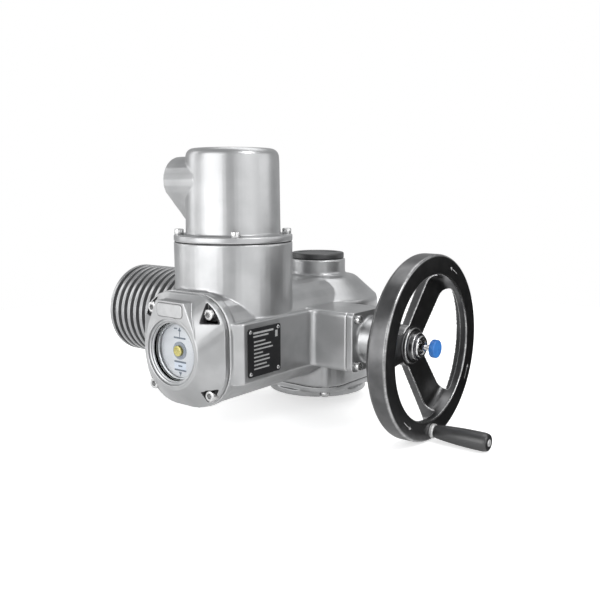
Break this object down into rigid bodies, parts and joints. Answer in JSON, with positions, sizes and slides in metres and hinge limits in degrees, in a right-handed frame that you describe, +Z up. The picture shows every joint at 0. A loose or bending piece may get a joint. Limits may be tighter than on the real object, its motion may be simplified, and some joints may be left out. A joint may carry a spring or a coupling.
{
  "type": "electric valve actuator",
  "caption": "Multi-turn electric valve actuator: finned motor, cast gear housing, plug connector, position window and cranked handwheel.",
  "frame": {"origin": "centre of the valve flange's lower face, on the stem axis", "axes": "+Z up the valve stem, +X towards the handwheel, -X towards the motor, -Y towards the position window"},
  "size_m": [0.5297, 0.3326, 0.3114],
  "materials": {
    "cast_aluminium": "satin silver-grey coating on a fine casting",
    "steel": "bright machined steel",
    "dark_steel": "dark phosphated steel",
    "black_coat": "satin black powder coat",
    "black_plastic": "fine matt moulding",
    "rubber": "matt rubber",
    "bronze": "machined bronze",
    "brass": "turned brass",
    "copper_winding": "varnished winding",
    "switch_red": "moulded switch case",
    "blue_plastic": "satin blue moulding",
    "dial_white": "white printed disc",
    "hub_grey": "grey moulding",
    "glass": "clear flat glass",
    "anodised": "plain turned aluminium"
  },
  "bodies": {
    "housing": {"main_housing": "cast_aluminium", "bearing_flange": "cast_aluminium", "bearing_flange_screws": "steel", "stem_cap": "black_plastic", "stem_cap_seal": "rubber", "lower_bearing": "steel", "upper_bearing": "steel", "output_seal": "rubber", "motor_housing": "cast_aluminium", "motor_end_cap": "cast_aluminium", "motor_stator": "dark_steel", "motor_windings": "copper_winding", "motor_flange_screws": "steel", "motor_end_screws": "steel", "motor_front_bearing": "steel", "motor_rear_bearing": "steel", "worm_bearing_motor_side": "steel", "worm_bearing_wheel_side": "steel", "disc_spring_pack": "dark_steel", "handwheel_flange": "cast_aluminium", "handwheel_flange_screws": "steel", "handwheel_shaft_seal": "rubber", "compartment_cover": "cast_aluminium", "cover_seal": "rubber", "cover_screws": "steel", "window_retaining_ring": "anodised", "window_glass": "glass", "window_seal": "rubber", "dial_bezel": "anodised", "control_unit": "dark_steel", "switch_blocks": "switch_red", "socket_carrier": "black_plastic", "contact_pins": "brass", "plug_insert": "black_plastic", "plug_seal": "rubber", "plug_cover": "cast_aluminium", "plug_cover_screws": "steel", "cable_entry_plugs": "steel", "nameplate": "black_coat", "nameplate_rivets": "steel"},
    "output_drive": {"drive_sleeve": "steel", "worm_wheel": "bronze", "crown_gear": "steel"},
    "worm_drive": {"worm_shaft": "steel", "motor_shaft": "steel", "rotor": "dark_steel"},
    "indicator_drive": {"indicator_drive_shaft": "steel"},
    "indicator": {"indicator_disc": "dial_white", "indicator_hub": "hub_grey", "brass_knob": "brass"},
    "handwheel_body": {"handwheel": "black_coat", "handwheel_shaft": "steel", "handwheel_circlip": "dark_steel", "crank_spindle": "steel"},
    "crank_handle": {"crank_grip": "black_plastic"},
    "push_button_body": {"push_rod": "steel", "push_button": "blue_plastic"}
  },
  "joints": [
    {"name": "worm_turn", "type": "hinge", "parent": "housing", "child": "worm_drive", "pos_m": [0, -0.07, 0.0866], "axis": [1, 0, 0], "continuous": true},
    {"name": "output_turn", "type": "hinge", "parent": "housing", "child": "output_drive", "pos_m": [0, 0, 0], "axis": [0, 0, 1], "continuous": true},
    {"name": "indicator_drive_turn", "type": "hinge", "parent": "housing", "child": "indicator_drive", "pos_m": [0, -0.05, 0.124], "axis": [0, 1, 0], "continuous": true},
    {"name": "indicator_turn", "type": "hinge", "parent": "housing", "child": "indicator", "pos_m": [0, -0.23, 0.0866], "axis": [0, 1, 0], "continuous": true},
    {"name": "handwheel_turn", "type": "hinge", "parent": "housing", "child": "handwheel_body", "pos_m": [0, -0.07, 0.0866], "axis": [1, 0, 0], "continuous": true},
    {"name": "crank_handle_spin", "type": "hinge", "parent": "handwheel_body", "child": "crank_handle", "pos_m": [0.24, -0.07, -0.0034], "axis": [1, 0, 0], "continuous": true},
    {"name": "button_press", "type": "slide", "parent": "handwheel_body", "child": "push_button_body", "axis": [-1, 0, 0], "range_m": [0, 0.006], "stiffness_N_per_m": 800}
  ],
  "couplings": [
    {"joint": "output_turn", "follows": "worm_turn", "ratio": -0.027778},
    {"joint": "indicator_drive_turn", "follows": "worm_turn", "ratio": 0.11111},
    {"joint": "indicator_turn", "follows": "worm_turn", "ratio": 0.0034722}
  ]
}
